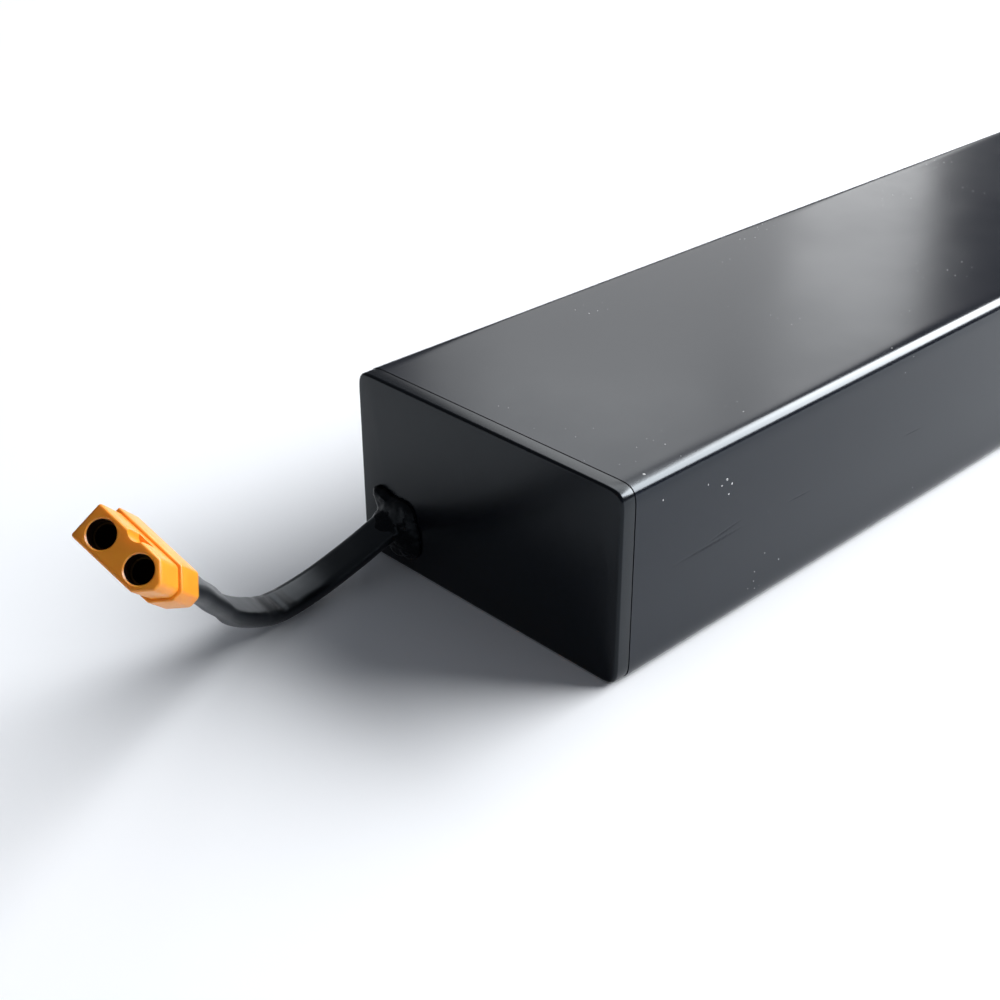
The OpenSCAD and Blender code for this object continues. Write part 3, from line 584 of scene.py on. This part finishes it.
def end_cap(name, drilled):
    """A plug for the end of the case, made at its front."""
    back = -tube_end - seam
    flange = case_prism(name, flange_in, back - flange_t, flange_t)
    bevel_edges(flange, lambda a, b: max(a.y, b.y) < back - flange_t + close, edge_radius, 5)
    if drilled:
        bpy.ops.object.select_all(action="DESELECT")
        bpy.ops.mesh.primitive_cylinder_add(vertices=hole_sides, radius=lead_hole_d / 2, depth=3 * flange_t,
                                            location=lead_exit, rotation=(pi / 2, 0, 0))
        join_by_boolean(flange, bpy.context.active_object, "DIFFERENCE")
    for finish in (cap_plastic, rim_plastic):
        flange.data.materials.append(finish)
    for face in flange.data.polygons:
        face.material_index = 0 if face.normal.y < front_facing else 1
    depth = skirt_l + seam
    inside = []
    for side in (-1, 1):
        above = case_h / 2 + side * (skirt_h - skirt_t) / 2
        beside = side * (skirt_w - skirt_t) / 2
        inside.append(box("wall", (skirt_w, depth, skirt_t), (0, back + depth / 2, above)))
        inside.append(box("wall", (skirt_t, depth, skirt_h), (beside, back + depth / 2, case_h / 2)))
    for x in rib_places:
        inside.append(box("rib", (rib_t, rib_h, skirt_h - skirt_t), (x, back + rib_h / 2, case_h / 2)))
    only(flange)
    for piece in inside:
        piece.select_set(True)
    bpy.ops.object.join()
    bpy.ops.object.shade_smooth_by_angle(angle=radians(30))
    return flange


front_plug = end_cap("front_plug", True)
rear_plug = end_cap("rear_plug", False)
rear_plug.data.transform(Matrix.Rotation(pi, 4, "Z"))
for plug, node in ((front_plug, "front_cap"), (rear_plug, "rear_cap")):
    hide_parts(node)
    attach(plug, "root")


# Inside the closed case: cells in printed film, nickel strips, insulating boards and
# foam, and the protection board. Nothing of it shows, and each has its own plain finish.
inner_finishes = {
    "pvc_film": ("#2b6f94", dict(Roughness=0.3, IOR=1.54), 0.004, "cell_"),
    "rolled_nickel": ("#bdbab2", dict(Metallic=1.0, Roughness=0.3), 0.0008, "link_ terminal_"),
    "fish_paper": ("#8c9c95", dict(Roughness=0.8, IOR=1.45), 0.001, "insulator_"),
    "polyimide_film": ("#b8731f", dict(Roughness=0.25, IOR=1.6), 0.003, "sense_strip_"),
    "closed_cell_foam": ("#1b1b1c", dict(Roughness=0.95, IOR=1.4), 0.0006, "divider_pad rear_pad bms_pad"),
    "solder_mask": ("#0e4a28", dict(Roughness=0.35, IOR=1.5), 0.002, "bms_board"),
    "moulded_epoxy": ("#131314", dict(Roughness=0.55, IOR=1.5), 0.0004, "bms_mosfets bms_chips"),
    "milled_aluminium": ("#b8b8bb", dict(Metallic=1.0, Roughness=0.35), 0.0005, "bms_heat_plate"),
    "natural_nylon": ("#e3e1d6", dict(Roughness=0.5, IOR=1.53), 0.002, "balance_header balance_plug"),
    "red_silicone": ("#a31212", dict(Roughness=0.5, IOR=1.42), 0.002, "balance_wires lead_positive"),
    "black_silicone": ("#0d0d0d", dict(Roughness=0.5, IOR=1.42), 0.002, "lead_negative lead_pack_negative"),
}
for name, (colour, sockets, grain, starts) in inner_finishes.items():
    material, tree, shader = new_finish(name, colour, **sockets)
    place = add(tree, "TexCoord", {}, {}).outputs["Object"]
    noise = add(tree, "TexNoise", {}, {"Vector": place, "Scale": 1 / grain, "Detail": 3.0})
    bump = add(tree, "Bump", {}, {"Height": noise.outputs["Fac"], "Strength": 0.2, "Distance": grain / 20})
    tree.links.new(bump.outputs["Normal"], shader.inputs["Normal"])
    for node in parts:
        if node.startswith(tuple(starts.split())):
            parts[node].material_slots[0].material = material


# Studio: a plain pale floor in a dim, slightly cool room, lit by a wide window behind the
# case, which draws the bright line along its long edge. The walls at the back left show
# in the top of the case, and the ceiling shows on the lead.
bpy.ops.object.select_all(action="DESELECT")
bpy.ops.mesh.primitive_plane_add(size=6)
floor = bpy.context.active_object
floor.name = "floor"
pale, tree, shader = new_finish("pale_floor", "#f0f3f7", Roughness=0.9)
floor.data.materials.append(pale)

room = bpy.data.worlds.new("room")
room.use_nodes = True
room.node_tree.nodes["Background"].inputs["Color"].default_value = linear("#e9eef8")
room.node_tree.nodes["Background"].inputs["Strength"].default_value = 0.17
scene.world = room
scene.view_settings.view_transform = "Standard"
lit_place = Vector((0, -0.05, 0.02))


def soft_panel(name, azimuth, elevation, away, wide, high, radiance, lights=True):
    """A panel that faces the case, so many degrees right of +Y, above the floor and across.

    One that doesn't light the scene only shows in what is glossy.
    """
    width, height = (2 * away * tan(radians(angle / 2)) for angle in (wide, high))
    data = bpy.data.lights.new(name, "AREA")
    data.shape = "RECTANGLE"
    data.size, data.size_y = width, height
    data.energy = radiance * pi * width * height
    light = bpy.data.objects.new(name, data)
    light.visible_diffuse = lights
    scene.collection.objects.link(light)
    direction = Vector((
        sin(radians(azimuth)) * cos(radians(elevation)),
        cos(radians(azimuth)) * cos(radians(elevation)), sin(radians(elevation))))
    light.matrix_world = (Matrix.Translation(lit_place + away * direction)
                          @ direction.to_track_quat("Z", "Y").to_matrix().to_4x4())


soft_panel("window", 21.5, 35, 2.0, 56, 29, 13.6)
soft_panel("window_pane", 23, 36, 1.95, 50, 27, 7.5, lights=False)
soft_panel("wall", -40.2, 24, 1.7, 22, 24, 1.36)
soft_panel("bright_wall", -31.8, 20, 1.7, 5.5, 20, 1.1)
soft_panel("upper_wall", -43.5, 30, 1.7, 10, 8, 1.1)
soft_panel("ceiling", -15, 52, 1.7, 50, 18, 2.1, lights=False)
soft_panel("upper_ceiling", -15, 58, 1.68, 60, 38, 1.2, lights=False)
